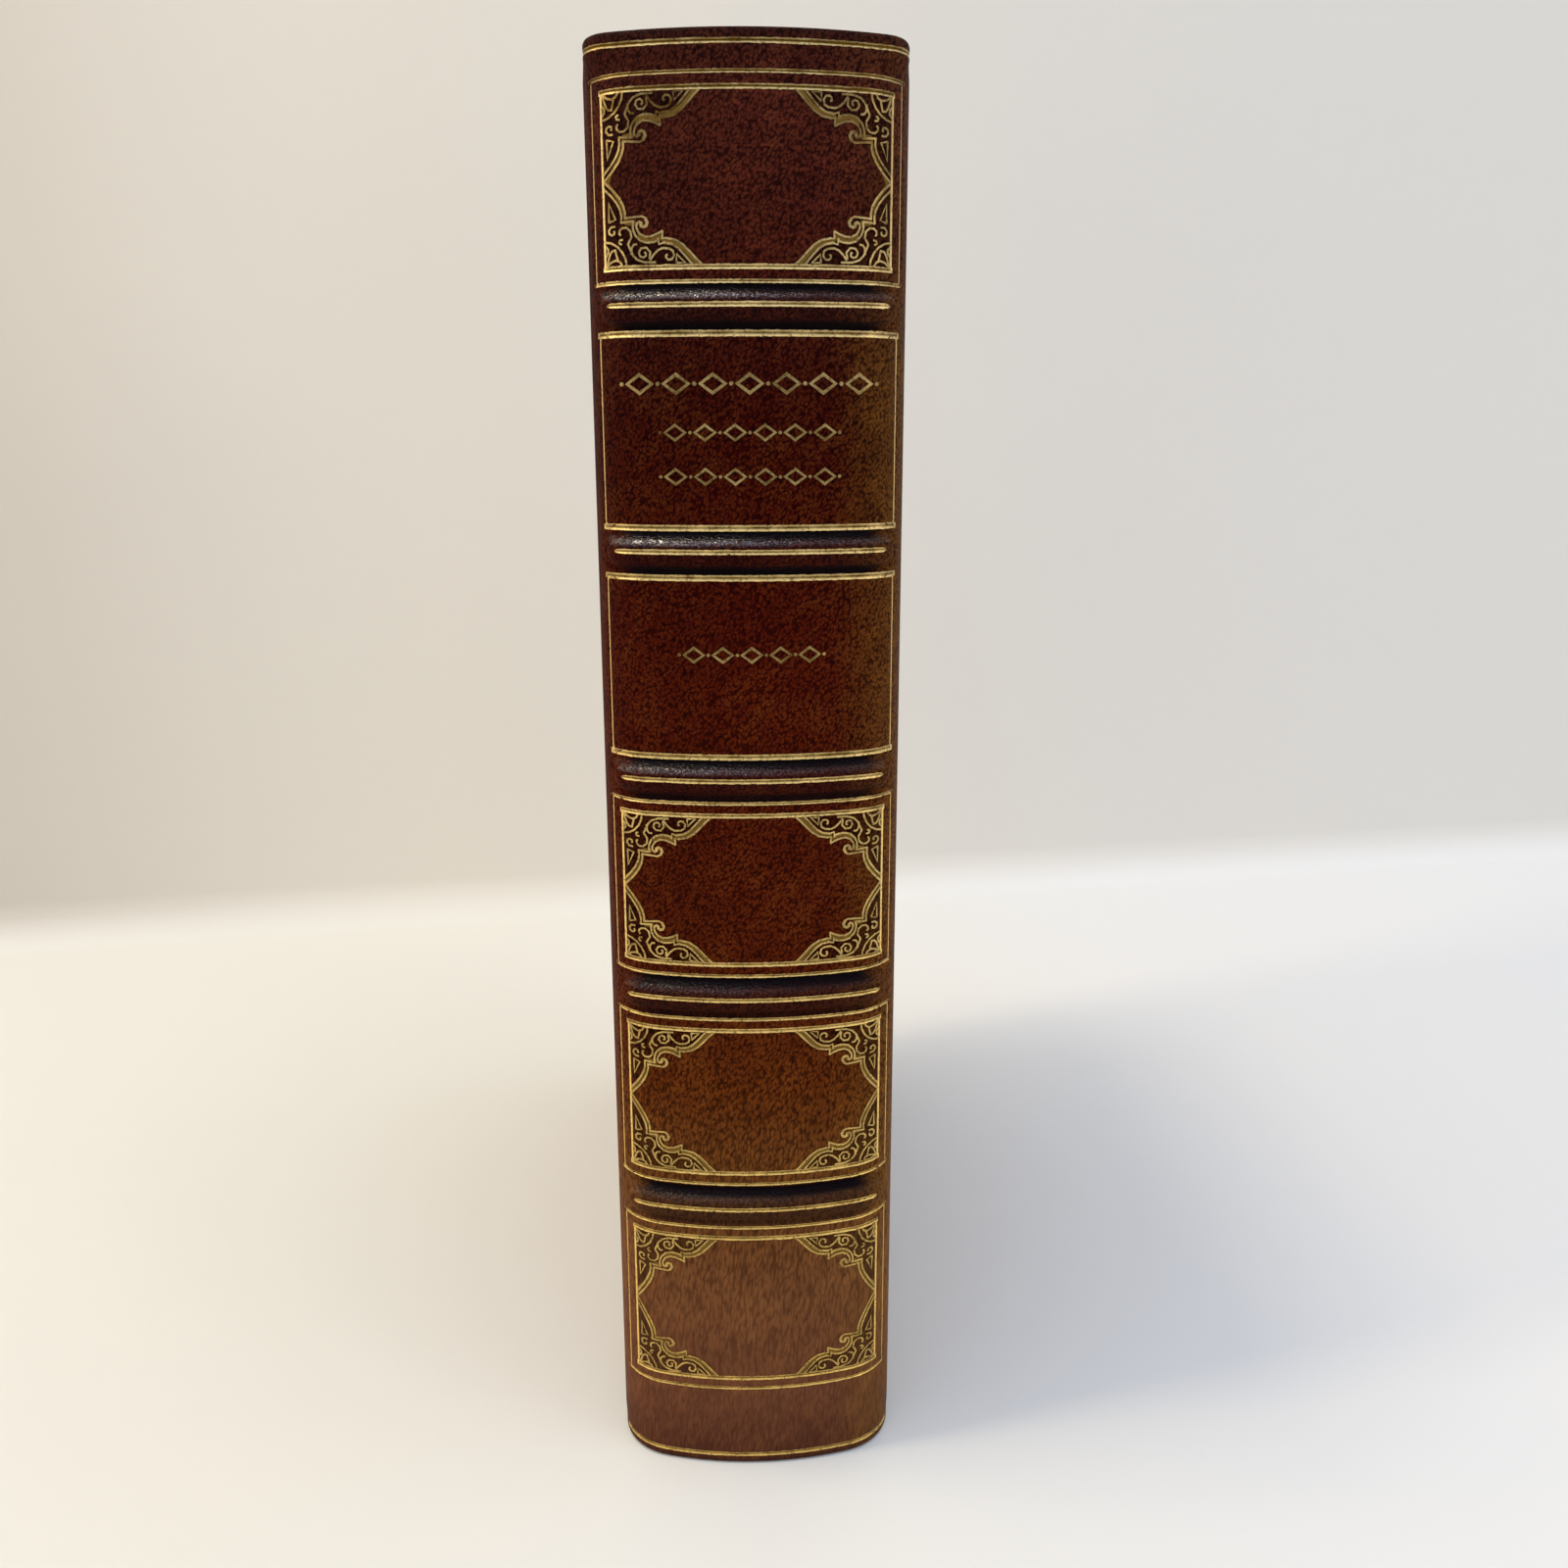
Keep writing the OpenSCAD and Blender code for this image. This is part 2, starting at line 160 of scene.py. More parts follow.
# Painted shade: the wall is greyest low on the left
painted_wall_shade = add(painted, "MapRange", {"Value": spot.outputs["X"], "From Min": -0.33, "From Max": -0.14},
          interpolation_type="SMOOTHSTEP")
left_wall = add(painted, "Mix", {0: painted_wall_shade.outputs[0], 6: paint("#d3cabd"), 7: paint("#ebe4d7")},
                data_type="RGBA")
wall_colour = add(painted, "Mix", {0: rightward.outputs[0], 6: left_wall.outputs[2],
                                   7: paint("#e7e3db")}, data_type="RGBA")
up = add(painted, "MapRange", {"Value": spot.outputs["Z"], "From Min": 0, "From Max": 0.6 * cove_r})
colour = add(painted, "Mix", {0: up.outputs[0], 6: table_colour.outputs[2],
                              7: wall_colour.outputs[2]}, data_type="RGBA")
facing = add(painted, "BsdfPrincipled", {"Base Color": colour.outputs[2], "Roughness": 0.9,
                                         "Specular IOR Level": 0.2}).outputs[0]
# A view from behind looks through the wall
away = add(painted, "NewGeometry").outputs["Backfacing"]
seen_through = add(painted, "BsdfTransparent").outputs[0]
show(painted, add(painted, "MixShader", {0: away, 1: facing, 2: seen_through}))
backdrop.data.materials.append(painted)

# LIGHT
# A warm lamp in the ceiling, a second one low on the left that throws the long faint shadow, a
# fainter one on the right, and daylight from overhead that leaves the shadows blue.


def soft_lamp(name, place, aim, width, watts, colour):
    """A soft square lamp at a place, turned to a point"""
    data = bpy.data.lights.new(name, "AREA")
    data.size = width
    data.energy = watts
    data.color = paint(colour)[:3]
    lamp = bpy.data.objects.new(name, data)
    bpy.context.scene.collection.objects.link(lamp)
    lamp.location = place
    lamp.rotation_mode = "QUATERNION"
    lamp.rotation_quaternion = (Vector(aim) - Vector(place)).to_track_quat("-Z", "Y")


lit = (0, 0, 0.1)
soft_lamp("ceiling_lamp", (-0.5, -0.1, 1.42), lit, 0.3, 4.9, "#ffedc8")
soft_lamp("left_lamp", (-1.15, -0.33, 0.75), lit, 0.22, 5, "#ffedc8")
soft_lamp("right_lamp", (1.1, -0.75, 0.45), lit, 0.4, 1.8, "#fff0dc")
world = bpy.data.worlds.new("room")
bpy.context.scene.world = world
world.use_nodes = True
way = add(world, "SeparateXYZ", {0: add(world, "TexCoord").outputs["Generated"]})
overhead = add(world, "MapRange", {"Value": way.outputs["Z"], "From Min": 0.0, "From Max": 0.9},
               interpolation_type="SMOOTHSTEP")
room = add(world, "Mix", {0: overhead.outputs[0], 6: paint("#85898f"), 7: paint("#dde9ff")},
           data_type="RGBA")
sky = world.node_tree.nodes["Background"]
world.node_tree.links.new(room.outputs[2], sky.inputs["Color"])
sky.inputs["Strength"].default_value = 1.38

# LEATHER ON THE SPINE
# One piece of brown goatskin, wetted and moulded over the five bands, nipped in tight on both
# sides of each, and turned over the endbands into caps. It is stained dark in the nips.
low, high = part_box("spine_leather")
back_r = 60 * MM
shoulder_r = 11 * MM
cap_shoulder_r = 6 * MM
leather_t = 0.8 * MM
band_proud = 1.9 * MM
band_r = 2.7 * MM
band_base = band_r - band_proud
cap_depth = 4.2 * MM
fold_r = 1 * MM
# The head cap, from where it starts to where it has its full shape, and how far it is drawn in
cap_start = 5.5 * MM
cap_full = 2.5 * MM
cap_drawn_in = 0.012
# Where the back's arcs meet, and where a band ends, as turns from straight back
seam_turn = math.atan2(7, 24)
band_end_turn = math.atan2(3, 4)

gold_t = 0.12 * MM
back_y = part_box("gilt_frame_2")[0].y + gold_t
back_centre = Vector((0, back_y + back_r))
shoulder_centre = back_centre + (back_r - shoulder_r) * Vector((
    math.sin(seam_turn), -math.cos(seam_turn)))
outer_x = shoulder_centre.x + shoulder_r
seam_s = back_r * seam_turn
band_end_s = seam_s + shoulder_r * (band_end_turn - seam_turn)
joint_s = seam_s + shoulder_r * (math.pi / 2 - seam_turn)
band_z = [sum(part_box(f"raised_band_{i}"), Vector()).z / 2 for i in range(1, 6)]


def round_back(s, u, corner_r=shoulder_r):
    """In plan, the point s round the back from its middle and u out from its surface. With tighter
    shoulders the sides run straight on to the joints."""
    seam = math.asin((outer_x - corner_r) / (back_r - corner_r))
    corner = back_centre + (back_r - corner_r) * Vector((math.sin(seam), -math.cos(seam)))
    round_s = back_r * seam + corner_r * (math.pi / 2 - seam)
    along = abs(s) / joint_s * (round_s + shoulder_centre.y - corner.y)
    if along < back_r * seam:
        centre, r, turn = back_centre, back_r, along / back_r
    else:
        turn = min(seam + (along - back_r * seam) / corner_r, math.pi / 2)
        centre, r = corner, corner_r
    place = centre + (r + u) * Vector((math.sin(turn), -math.cos(turn)))
    return Vector((math.copysign(place.x, s), place.y + max(along - round_s, 0)))


def way_round(x):
    """How far round the back a point lies that is x from the middle plane"""
    seam_x = back_r * math.sin(seam_turn)
    if abs(x) < seam_x:
        return back_r * math.asin(x / back_r)
    turn = math.asin(min((abs(x) - shoulder_centre.x) / shoulder_r, 1))
    return math.copysign(seam_s + shoulder_r * (turn - seam_turn), x)


def smooth_step(value, start, end):
    t = min(max((value - start) / (end - start), 0), 1)
    return t * t * (3 - 2 * t)


# The gold lines, read from the CAD part: [half width, bottom, top, width across, width of sides]
across_w = 0.75 * MM
title_w = 0.95 * MM
side_w = 0.55 * MM
inner_step_x = 1.6 * MM
inner_step_z = 2.05 * MM
frames = {}
for i in range(1, 7):
    corner, far_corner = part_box(f"gilt_frame_{i}")
    scrolled = i not in (2, 3)
    w = side_w if scrolled else title_w
    half, z0, z1 = far_corner.x - side_w / 2, corner.z + w / 2, far_corner.z - w / 2
    frames[f"gilt_frame_{i}"] = [(half, z0, z1, w, side_w)]
    if scrolled:
        frames[f"gilt_frame_{i}"].append(
            (half - inner_step_x, z0 + inner_step_z, z1 - inner_step_z, across_w, side_w))
cap_z = [low.z + 2 * MM, high.z - 2 * MM]
# The fillet ran just above the crest of each band
band_line_up = 0.3 * MM
cap_line_s = way_round(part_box("gilt_cap_lines")[1].x)
across_lines = [(z, cap_line_s, across_w) for z in cap_z]
across_lines += [(z + band_line_up, band_end_s, across_w) for z in band_z]
side_lines = []
for half, z0, z1, w, sw in sum(frames.values(), []):
    across_lines += [(z, way_round(half), w) for z in (z0, z1)]
    side_lines.append((way_round(half), z0, z1, sw))

press_depth = 0.16 * MM


def pressed(away, w):
    """Depth of the groove that a tool of width w leaves, at a distance from its middle"""
    return -press_depth * (1 - smooth_step(abs(away), 0.1 * w, 0.75 * w))


def tooling(s, z):
    """Depth of the grooves under the gold lines, and how far the hot tool darkened the leather"""
    depth, heat = 0, 0
    for line_z, half_s, w in across_lines:
        if abs(z - line_z) < w and abs(s) < half_s + w:
            end = 1 - smooth_step(abs(s), half_s, half_s + w)
            depth = min(depth, pressed(z - line_z, w) * end)
            heat = max(heat, end * (1 - smooth_step(abs(z - line_z), 0.5 * w, 0.9 * w)))
    for line_s, z0, z1, w in side_lines:
        if abs(abs(s) - line_s) < w and z0 - w < z < z1 + w:
            depth = min(depth, pressed(abs(s) - line_s, w))
            heat = max(heat, 1 - smooth_step(abs(abs(s) - line_s), 0.5 * w, 0.9 * w))
    return depth, heat


def corner_of_panel(x, z):
    """How far in a point lies from the side and from the nearer end of its inner frame"""
    for loops in frames.values():
        half, z0, z1, _, _ = loops[-1]
        if len(loops) > 1 and z0 - 2 * MM < z < z1 + 2 * MM:
            return half - abs(x), min(z - z0, z1 - z)
    return -1 * MM, -1 * MM


# Round each band: the nip beside it, the puckers at its ends and the wrinkles along it
moulded_reach = 9 * MM
nip_away = 3.1 * MM
nip_depth = 0.4 * MM
nip_w = 0.55 * MM
pucker_h = 0.06 * MM
pucker_pitch = 0.85 * MM
wrinkle_h = 0.07 * MM
crooked = 0.12 * MM


def on_leather(s, z, u):
    """The point s round the back and z up it, u out from its surface. The cap at the head is set
    with tighter shoulders than the back below it."""
    capped = smooth_step(z, high.z - cap_start, high.z - cap_full)
    place = round_back(s, u).lerp(round_back(s, u, cap_shoulder_r), capped)
    return place.x * (1 - cap_drawn_in * capped), place.y, z


def moulding(s, z):
    """How far the leather stands out over the bands or in at the nips, and how dark and how
    polished it is there"""
    rise, dark, polish = 0, 0, 0
    for middle in band_z:
        wander = crooked * noise.noise(Vector((s / (7 * MM), middle * 90, 0)))
        dz = z - middle + wander
        beyond = abs(s) - band_end_s
        past_end = max(beyond, 0)
        away = math.hypot(dz, past_end)
        if away > moulded_reach:
            continue
        fade = 1 - smooth_step(past_end, 0.5 * MM, 4.5 * MM)
        bulge = max(math.sqrt(max(band_r ** 2 - away ** 2, 0)) - band_base, 0)
        depth = nip_depth * (1 + 0.3 * noise.noise(Vector((s / (5 * MM), middle * 70, 3))))
        rise = bulge - depth * fade * math.exp(-((away - nip_away) / nip_w) ** 2)
        ring = smooth_step(past_end, 0, 1.5 * MM) * (1 - smooth_step(away, 4 * MM, 7 * MM))
        rise += pucker_h * ring * math.sin(2 * math.pi * away / pucker_pitch)
        over = 1 - smooth_step(away, 2.2 * MM, 3.4 * MM)
        rise += wrinkle_h * over * noise.noise(Vector((s / (9 * MM), dz / (0.5 * MM), middle * 50)))
        # Black in the nip above a band, brown-black over it and below it, paler nearer the tail
        aged = smooth_step(middle, 50 * MM, 180 * MM)
        nip = smooth_step(away, 1.2 * MM, 2.4 * MM) * (1 - smooth_step(away, 3.4 * MM, 4.4 * MM))
        if dz < 0:
            nip *= 0.55 + 0.45 * aged
        dark = max(nip, (0.62 - 0.2 * aged) * over) * (1 - smooth_step(beyond, -3 * MM, 2 * MM))
        # Hands have polished its upper side, most at the head and towards the back cover
        shiny = smooth_step(dz, 1.0 * MM, 1.7 * MM) * (1 - smooth_step(dz, 2.0 * MM, 2.9 * MM))
        handled = (0.12 + 0.88 * aged ** 2) * (1 - 0.7 * smooth_step(s, -8 * MM, 12 * MM))
        polish = fade * shiny * handled
    return rise, dark, polish


# Rows of the mesh: plain ones up the whole height, and more at the bands and gold lines
row_gap = 1.2 * MM
row_count = 196
least_gap = 0.1 * MM


def section_rows():
    """Rows up the leather: how far out and how high each is, and how much moulding shows there"""
    turned_in = [-k * cap_depth for k in (1, 0.7, 0.45)]
    fold = [math.radians(10 * i) for i in range(10)]
    rows = [(u, low.z, 0) for u in turned_in]
    rows += [(fold_r * (math.sin(a) - 1), low.z + fold_r * (1 - math.cos(a)), math.sin(a))
             for a in fold]
    heights = [low.z + fold_r + i * row_gap for i in range(1, row_count + 1)]
    for middle in band_z:
        heights += [middle + i * 0.25 * MM for i in range(-18, 19)]
    for z, _, w in across_lines:
        heights += [z + k * w for k in (-0.75, -0.5, -0.3, -0.1, 0.1, 0.3, 0.5, 0.75)]
    last = rows[-1][1]
    for z in sorted(heights):
        if z - last > least_gap and z < high.z - fold_r - least_gap:
            rows.append((0, z, 1))
            last = z
    rows += [(fold_r * (math.cos(a) - 1), high.z - fold_r * (1 - math.sin(a)), math.cos(a))
             for a in fold]
    return rows + [(u, high.z, 0) for u in reversed(turned_in)]


def section_columns():
    """Places round the back, closer together at the side lines"""
    ways = [i * 1.04 * MM for i in range(30)] + [joint_s]
    for line_s in {round(line[0], 5) for line in side_lines}:
        ways += [line_s + k * side_w for k in (-0.7, -0.35, 0, 0.35, 0.7)]
    kept = [0]
    for way in sorted(ways):
        if way - kept[-1] > 0.12 * MM:
            kept.append(way)
    return [-way for way in reversed(kept[1:])] + kept


rows = section_rows()
columns = section_columns()
bm = bmesh.new()
bmesh.ops.create_grid(bm, x_segments=len(columns) - 1, y_segments=len(rows) - 1, size=1)
stain_layer = bm.verts.layers.float.new("stain")
heat_layer = bm.verts.layers.float.new("heat")
polish_layer = bm.verts.layers.float.new("polish")
corner_layer = bm.verts.layers.float_vector.new("corner")
for v in bm.verts:
    s = columns[round((v.co.x + 1) / 2 * (len(columns) - 1))]
    u, z, shown = rows[round((v.co.y + 1) / 2 * (len(rows) - 1))]
    rise, dark, v[polish_layer] = moulding(s, z)
    groove, heat = tooling(s, z)
    v.co = on_leather(s, z, u + (rise + groove) * shown)
    edge = min(z - low.z, high.z - z)
    v[stain_layer] = max(dark, 0.3 * (1 - smooth_step(edge, 0.5 * MM, 2.2 * MM)))
    v[heat_layer] = heat
    v[corner_layer] = (*corner_of_panel(v.co.x, z), 0)
bmesh.ops.recalc_face_normals(bm, faces=bm.faces)
if sum(f.normal.y for f in bm.faces) > 0:
    bmesh.ops.reverse_faces(bm, faces=bm.faces)
bmesh.ops.solidify(bm, geom=bm.faces[:], thickness=leather_t)
spine = to_object("spine_leather_moulded", bm)
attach(spine, "book_block")
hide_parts("spine_leather")


def dress(piece, material):
    """A piece or a CAD node in one material"""
    slots = piece.data.materials
    slots.clear()
    slots.append(material)


# In millimetres: how high the leather stands, and how much of a compartment a corner piece fills
skin_h = 240
corner_size = 16


def goatskin():
    """Goatskin, dyed and polished: a fine pebbled grain, dark in the creases and shiny on the bands"""
    skin = new_material("polished_goatskin")
    spot = add(skin, "TexCoord").outputs["Object"]
    place = add(skin, "SeparateXYZ", {0: spot}).outputs
    # Towards the tail the grain is drawn out lengthways into creases about 1.2 mm apart
    near_tail = add(skin, "Math", {0: place["Z"], 1: 72 * MM, 2: 45 * MM}, operation="SMOOTH_MIN")
    drawn_out = add(skin, "Math", {0: near_tail.outputs[0], 1: -0.72, 2: place["Z"]},
                    operation="MULTIPLY_ADD")
    laid = add(skin, "CombineXYZ", {0: place["X"], 1: place["Y"], 2: drawn_out.outputs[0]})
    drift = add(skin, "TexNoise", {"Vector": laid.outputs[0], "Scale": 1 / (2.6 * MM),
                                   "Detail": 1.0})
    moved = add(skin, "VectorMath", {0: drift.outputs["Color"], 1: (0.9 * MM,) * 3,
                                     2: laid.outputs[0]}, operation="MULTIPLY_ADD").outputs[0]
    # The grain and the blotches both slant up to the right
    slant = (0, math.radians(-55), 0)
    along_grain = add(skin, "Mapping", {"Vector": moved, "Rotation": slant, "Scale": (1.5, 1, 1)},
                      vector_type="TEXTURE").outputs[0]
    pebbles = add(skin, "TexVoronoi", {"Vector": along_grain, "Scale": 1 / (0.42 * MM)})
    top = add(skin, "MapRange", {"Value": pebbles.outputs["Distance"], "From Min": 0.8,
                                 "From Max": 0.32}, interpolation_type="SMOOTHSTEP").outputs[0]
    pores = add(skin, "TexNoise", {"Vector": along_grain, "Scale": 1 / (0.3 * MM),
                                   "Detail": 2.0}).outputs[0]
    slanted = add(skin, "Mapping", {"Vector": spot, "Rotation": slant, "Scale": (2.2, 1, 1)},
                  vector_type="TEXTURE").outputs[0]
    blotches = add(skin, "TexNoise", {"Vector": slanted, "Scale": 1 / (4 * MM), "Detail": 6.0,
                                      "Roughness": 0.75}).outputs[0]
    # Deep red-brown at the head and lighter tan towards the tail: partly dye faded towards the tail,
    # partly painted light for the glow bounced up from the white table
    dye_and_bounce_light = add(skin, "ValToRGB", {0: add(skin, "MapRange", {
        "Value": place["Z"], "From Min": 0.0, "From Max": skin_h * MM}).outputs[0]})
    ramp = dye_and_bounce_light.color_ramp
    ramp.elements[0].color, ramp.elements[1].color = paint("#532d1f"), paint("#3b1610")
    for z, code in ((12, "#6b402b"), (34, "#76492b"), (56, "#6d401b"), (74, "#622c0a"),
                    (96, "#541905"), (147, "#4c0e03"), (185, "#3c0502"), (206, "#42140d"),
                    (230, "#481b14")):
        ramp.elements.new(z / skin_h).color = paint(code)
    # Towards the front cover it is painted paler and yellower, a painted sheen, and it is browner in
    # patches everywhere
    sheen_and_patches = add(skin, "MapRange", {"Value": place["X"], "From Min": 11 * MM, "From Max": 25 * MM,
                                    "To Min": 0.0, "To Max": 0.38}, interpolation_type="SMOOTHSTEP")
    browner = add(skin, "MapRange", {"Value": blotches, "From Min": 0.45, "From Max": 0.7,
                                     "To Min": 0.0, "To Max": 0.12})
    # Near the head the painted sheen and the browner patches are weaker
    below_head = add(skin, "MapRange", {"Value": place["Z"], "From Min": 195 * MM,
                                        "From Max": 212 * MM, "To Min": 1.0, "To Max": 0.3})
    mixed = add(skin, "Math", {0: pores, 1: 1.5, 2: top}, operation="MULTIPLY_ADD").outputs[0]
    ridges = add(skin, "MapRange", {"Value": mixed, "From Min": 0.7, "From Max": 1.8,
                                    "To Min": -0.07, "To Max": 0.05})
    sheen_and_patches = add(skin, "Math", {0: sheen_and_patches.outputs[0], 1: browner.outputs[0]}, operation="ADD")
    sheen_and_patches = add(skin, "Math", {0: sheen_and_patches.outputs[0], 1: below_head.outputs[0],
                                2: ridges.outputs[0]}, operation="MULTIPLY_ADD", use_clamp=True)
    colour = add(skin, "Mix", {0: sheen_and_patches.outputs[0], 6: dye_and_bounce_light.outputs[0], 7: paint("#80581f")},
                 data_type="RGBA").outputs[2]
    patchy = add(skin, "MapRange", {"Value": blotches, "From Min": 0.36, "From Max": 0.64,
                                    "To Min": 0.84, "To Max": 1.14}).outputs[0]
    shade = add(skin, "MapRange", {"Value": mixed, "From Min": 0.5, "From Max": 2.0,
                                   "To Min": -0.85, "To Max": 0.23}).outputs[0]
    # The grain shows less towards the tail
    clear = add(skin, "MapRange", {"Value": place["Z"], "From Min": 10 * MM, "From Max": 75 * MM,
                                   "To Min": 0.3, "To Max": 1.0}).outputs[0]
    shade = add(skin, "Math", {0: shade, 1: clear, 2: 1.0}, operation="MULTIPLY_ADD").outputs[0]
    # Faint paler creases lie across the first compartment
    flat = add(skin, "Mapping", {"Vector": moved, "Rotation": (0, math.radians(8), 0),
                                 "Scale": (6, 1, 1)}, vector_type="TEXTURE").outputs[0]
    creases = add(skin, "TexNoise", {"Vector": flat, "Scale": 1 / (3.5 * MM), "Detail": 1.0})
    creases = add(skin, "Math", {0: creases.outputs[0], 1: 0.5, 2: 0.013}, operation="COMPARE")
    at_head = add(skin, "MapRange", {"Value": place["Z"], "From Min": 200 * MM,
                                     "From Max": 206 * MM, "To Min": 0.0, "To Max": 0.3}).outputs[0]
    shade = add(skin, "Math", {0: creases.outputs[0], 1: at_head, 2: shade},
                operation="MULTIPLY_ADD").outputs[0]
    # Away from the tail the side towards the back cover is darker
    darker = add(skin, "MapRange", {"Value": place["X"], "From Min": -12 * MM, "From Max": 0.0,
                                    "To Min": -0.13, "To Max": 0.0}, interpolation_type="SMOOTHSTEP")
    up_from_tail = add(skin, "MapRange", {"Value": place["Z"], "From Min": 60 * MM,
                                          "From Max": 95 * MM}).outputs[0]
    darker = add(skin, "Math", {0: darker.outputs[0], 1: up_from_tail, 2: 1.0},
                 operation="MULTIPLY_ADD").outputs[0]
    # Inside a corner piece the hot tool has darkened the ground. Its edge is drawn as a height over
    # the distance in from the compartment's side, both in parts of the corner's size.
    corner = add(skin, "Attribute", attribute_name="corner").outputs["Vector"]
    inward = add(skin, "VectorMath", {0: corner, "Scale": 1 / (corner_size * MM)}, operation="SCALE")
    inward = add(skin, "SeparateXYZ", {0: inward.outputs[0]}).outputs
    outline = add(skin, "ValToRGB", {0: inward["X"]})
    ramp = outline.color_ramp
    ramp.elements[0].color, ramp.elements[1].color = (0.84, 0.84, 0.84, 1), (0, 0, 0, 1)
    for along, up in ((1.2, 12), (2.4, 10.3), (3, 8.8), (3.3, 7), (5, 6.8), (5.4, 4.8), (7, 4.2),
                      (8.6, 4.8), (9.2, 4.1), (10.5, 4), (12, 3.2), (13.5, 1.5), (15, 0)):
        ramp.elements.new(along / corner_size).color = (*[up / corner_size] * 3, 1)
    under = add(skin, "Math", {0: outline.outputs[0], 1: inward["Y"]}, operation="SUBTRACT")
    ground = add(skin, "MapRange", {"Value": under.outputs[0], "From Min": 0.0,
                                    "From Max": 0.02})
    within = add(skin, "Math", {0: inward["X"], 1: inward["Y"]}, operation="MINIMUM")
    within = add(skin, "MapRange", {"Value": within.outputs[0], "From Min": 0.0,
                                    "From Max": 0.02})
    ground = add(skin, "Math", {0: ground.outputs[0], 1: within.outputs[0]}, operation="MULTIPLY")
    # A broad band of gold, worn thin, lies between the two lines of the outline
    rim = add(skin, "MapRange", {"Value": under.outputs[0], "From Min": 0.05, "From Max": 0.065,
                                 "To Min": 0.6, "To Max": 0.0})
    rim = add(skin, "Math", {0: rim.outputs[0], 1: ground.outputs[0]}, operation="MULTIPLY")
    heat = add(skin, "Attribute", attribute_name="heat").outputs["Fac"]
    heat = add(skin, "Math", {0: heat, 1: ground.outputs[0]}, operation="MAXIMUM").outputs[0]
    heat = add(skin, "MapRange", {"Value": heat, "To Min": 1.0, "To Max": 0.48}).outputs[0]
    for part in (patchy, shade, darker, heat):
        colour = add(skin, "VectorMath", {0: colour, "Scale": part}, operation="SCALE").outputs[0]
    colour = add(skin, "Mix", {0: rim.outputs[0], 6: colour, 7: paint("#967434")},
                 data_type="RGBA").outputs[2]
    stain = add(skin, "Attribute", attribute_name="stain").outputs["Fac"]
    colour = add(skin, "Mix", {0: stain, 6: colour, 7: paint("#120b0e")},
                 data_type="RGBA").outputs[2]
    bump = add(skin, "Bump", {"Height": top, "Strength": 0.8, "Distance": 0.09 * MM})
    matt = add(skin, "BsdfPrincipled", {"Base Color": colour, "Roughness": 0.5, "IOR": 1.4,
                                        "Specular IOR Level": 0.03, "Normal": bump.outputs[0]})
    burnished = add(skin, "BsdfPrincipled", {"Base Color": colour, "Roughness": 0.2, "IOR": 1.65,
                                             "Specular IOR Level": 1.0, "Normal": bump.outputs[0]})
    speckle = add(skin, "MapRange", {"Value": pores, "From Min": 0.42, "From Max": 0.58,
                                     "To Min": 0.25, "To Max": 1.3})
    polish = add(skin, "Attribute", attribute_name="polish").outputs["Fac"]
    polish = add(skin, "Math", {0: polish, 1: speckle.outputs[0]}, operation="MULTIPLY",
                 use_clamp=True)
    show(skin, add(skin, "MixShader", {0: polish.outputs[0], 1: matt.outputs[0],
                                       2: burnished.outputs[0]}))
    return skin


leather = goatskin()
dress(spine, leather)

# GOLD LINES
# Gold leaf pressed into the leather with hot brass fillets: lines round the compartments, one in
# the crest of each band and one at each cap. A line is a shallow groove with two lit edges.


def gold_leaf(name, wear):
    """Gold leaf, pressed a little unevenly and rubbed off in places. Wear makes it duller."""
    gold = new_material(name)
    spot = add(gold, "TexCoord").outputs["Object"]
    grain = add(gold, "TexNoise", {"Vector": spot, "Scale": 1 / (0.4 * MM),
                                   "Detail": 3.0}).outputs[0]
    tone = add(gold, "TexNoise", {"Vector": spot, "Scale": 1 / (3 * MM), "Detail": 3.0}).outputs[0]
    # Each line has two bright edges and is dull in between, a painted highlight and painted shade: the
    # lower edge, facing up to the lamps, is the brighter
    rolled = add(gold, "Attribute", attribute_name="rolled").outputs["Fac"]
    bright = add(gold, "Math", {0: tone, 1: rolled}, operation="ADD", use_clamp=True)
    # Hands have dulled it towards the head, and it is yellower towards the tail
    height = add(gold, "SeparateXYZ", {0: spot}).outputs["Z"]
    rubbed = add(gold, "MapRange", {"Value": height, "From Min": 207 * MM, "From Max": 228 * MM,
                                    "To Min": wear, "To Max": wear + 0.3})
    bright = add(gold, "Math", {0: bright.outputs[0], 1: rubbed.outputs[0]}, operation="SUBTRACT",
                 use_clamp=True)
    height = add(gold, "MapRange", {"Value": height, "From Min": 30 * MM, "From Max": 200 * MM})
    # Painted light and shade: a lit gold and a dark gold, mixed by the painted edge highlight and the
    # random tone
    lit_gold = add(gold, "Mix", {0: height.outputs[0], 6: paint("#ffd77c"), 7: paint("#ffe09a")},
                   data_type="RGBA")
    shade = add(gold, "Mix", {0: bright.outputs[0], 6: paint("#5c4212"), 7: lit_gold.outputs[2]},
                data_type="RGBA")
    bump = add(gold, "Bump", {"Height": grain, "Strength": 0.7, "Distance": 0.1 * MM})
    leaf = add(gold, "BsdfPrincipled", {"Base Color": shade.outputs[2], "Metallic": 1.0,
                                        "Roughness": 0.45, "Normal": bump.outputs[0]})
    bare = add(gold, "BsdfPrincipled", {"Base Color": paint("#3a1a0c"), "Roughness": 0.6,
                                        "Specular IOR Level": 0.1, "Normal": bump.outputs[0]})
    gone = add(gold, "MapRange", {"Value": grain, "From Min": 0.54, "From Max": 0.64,
                                  "To Min": 0.0, "To Max": 0.6})
    show(gold, add(gold, "MixShader", {0: gone.outputs[0], 1: leaf.outputs[0], 2: bare.outputs[0]}))
    return gold


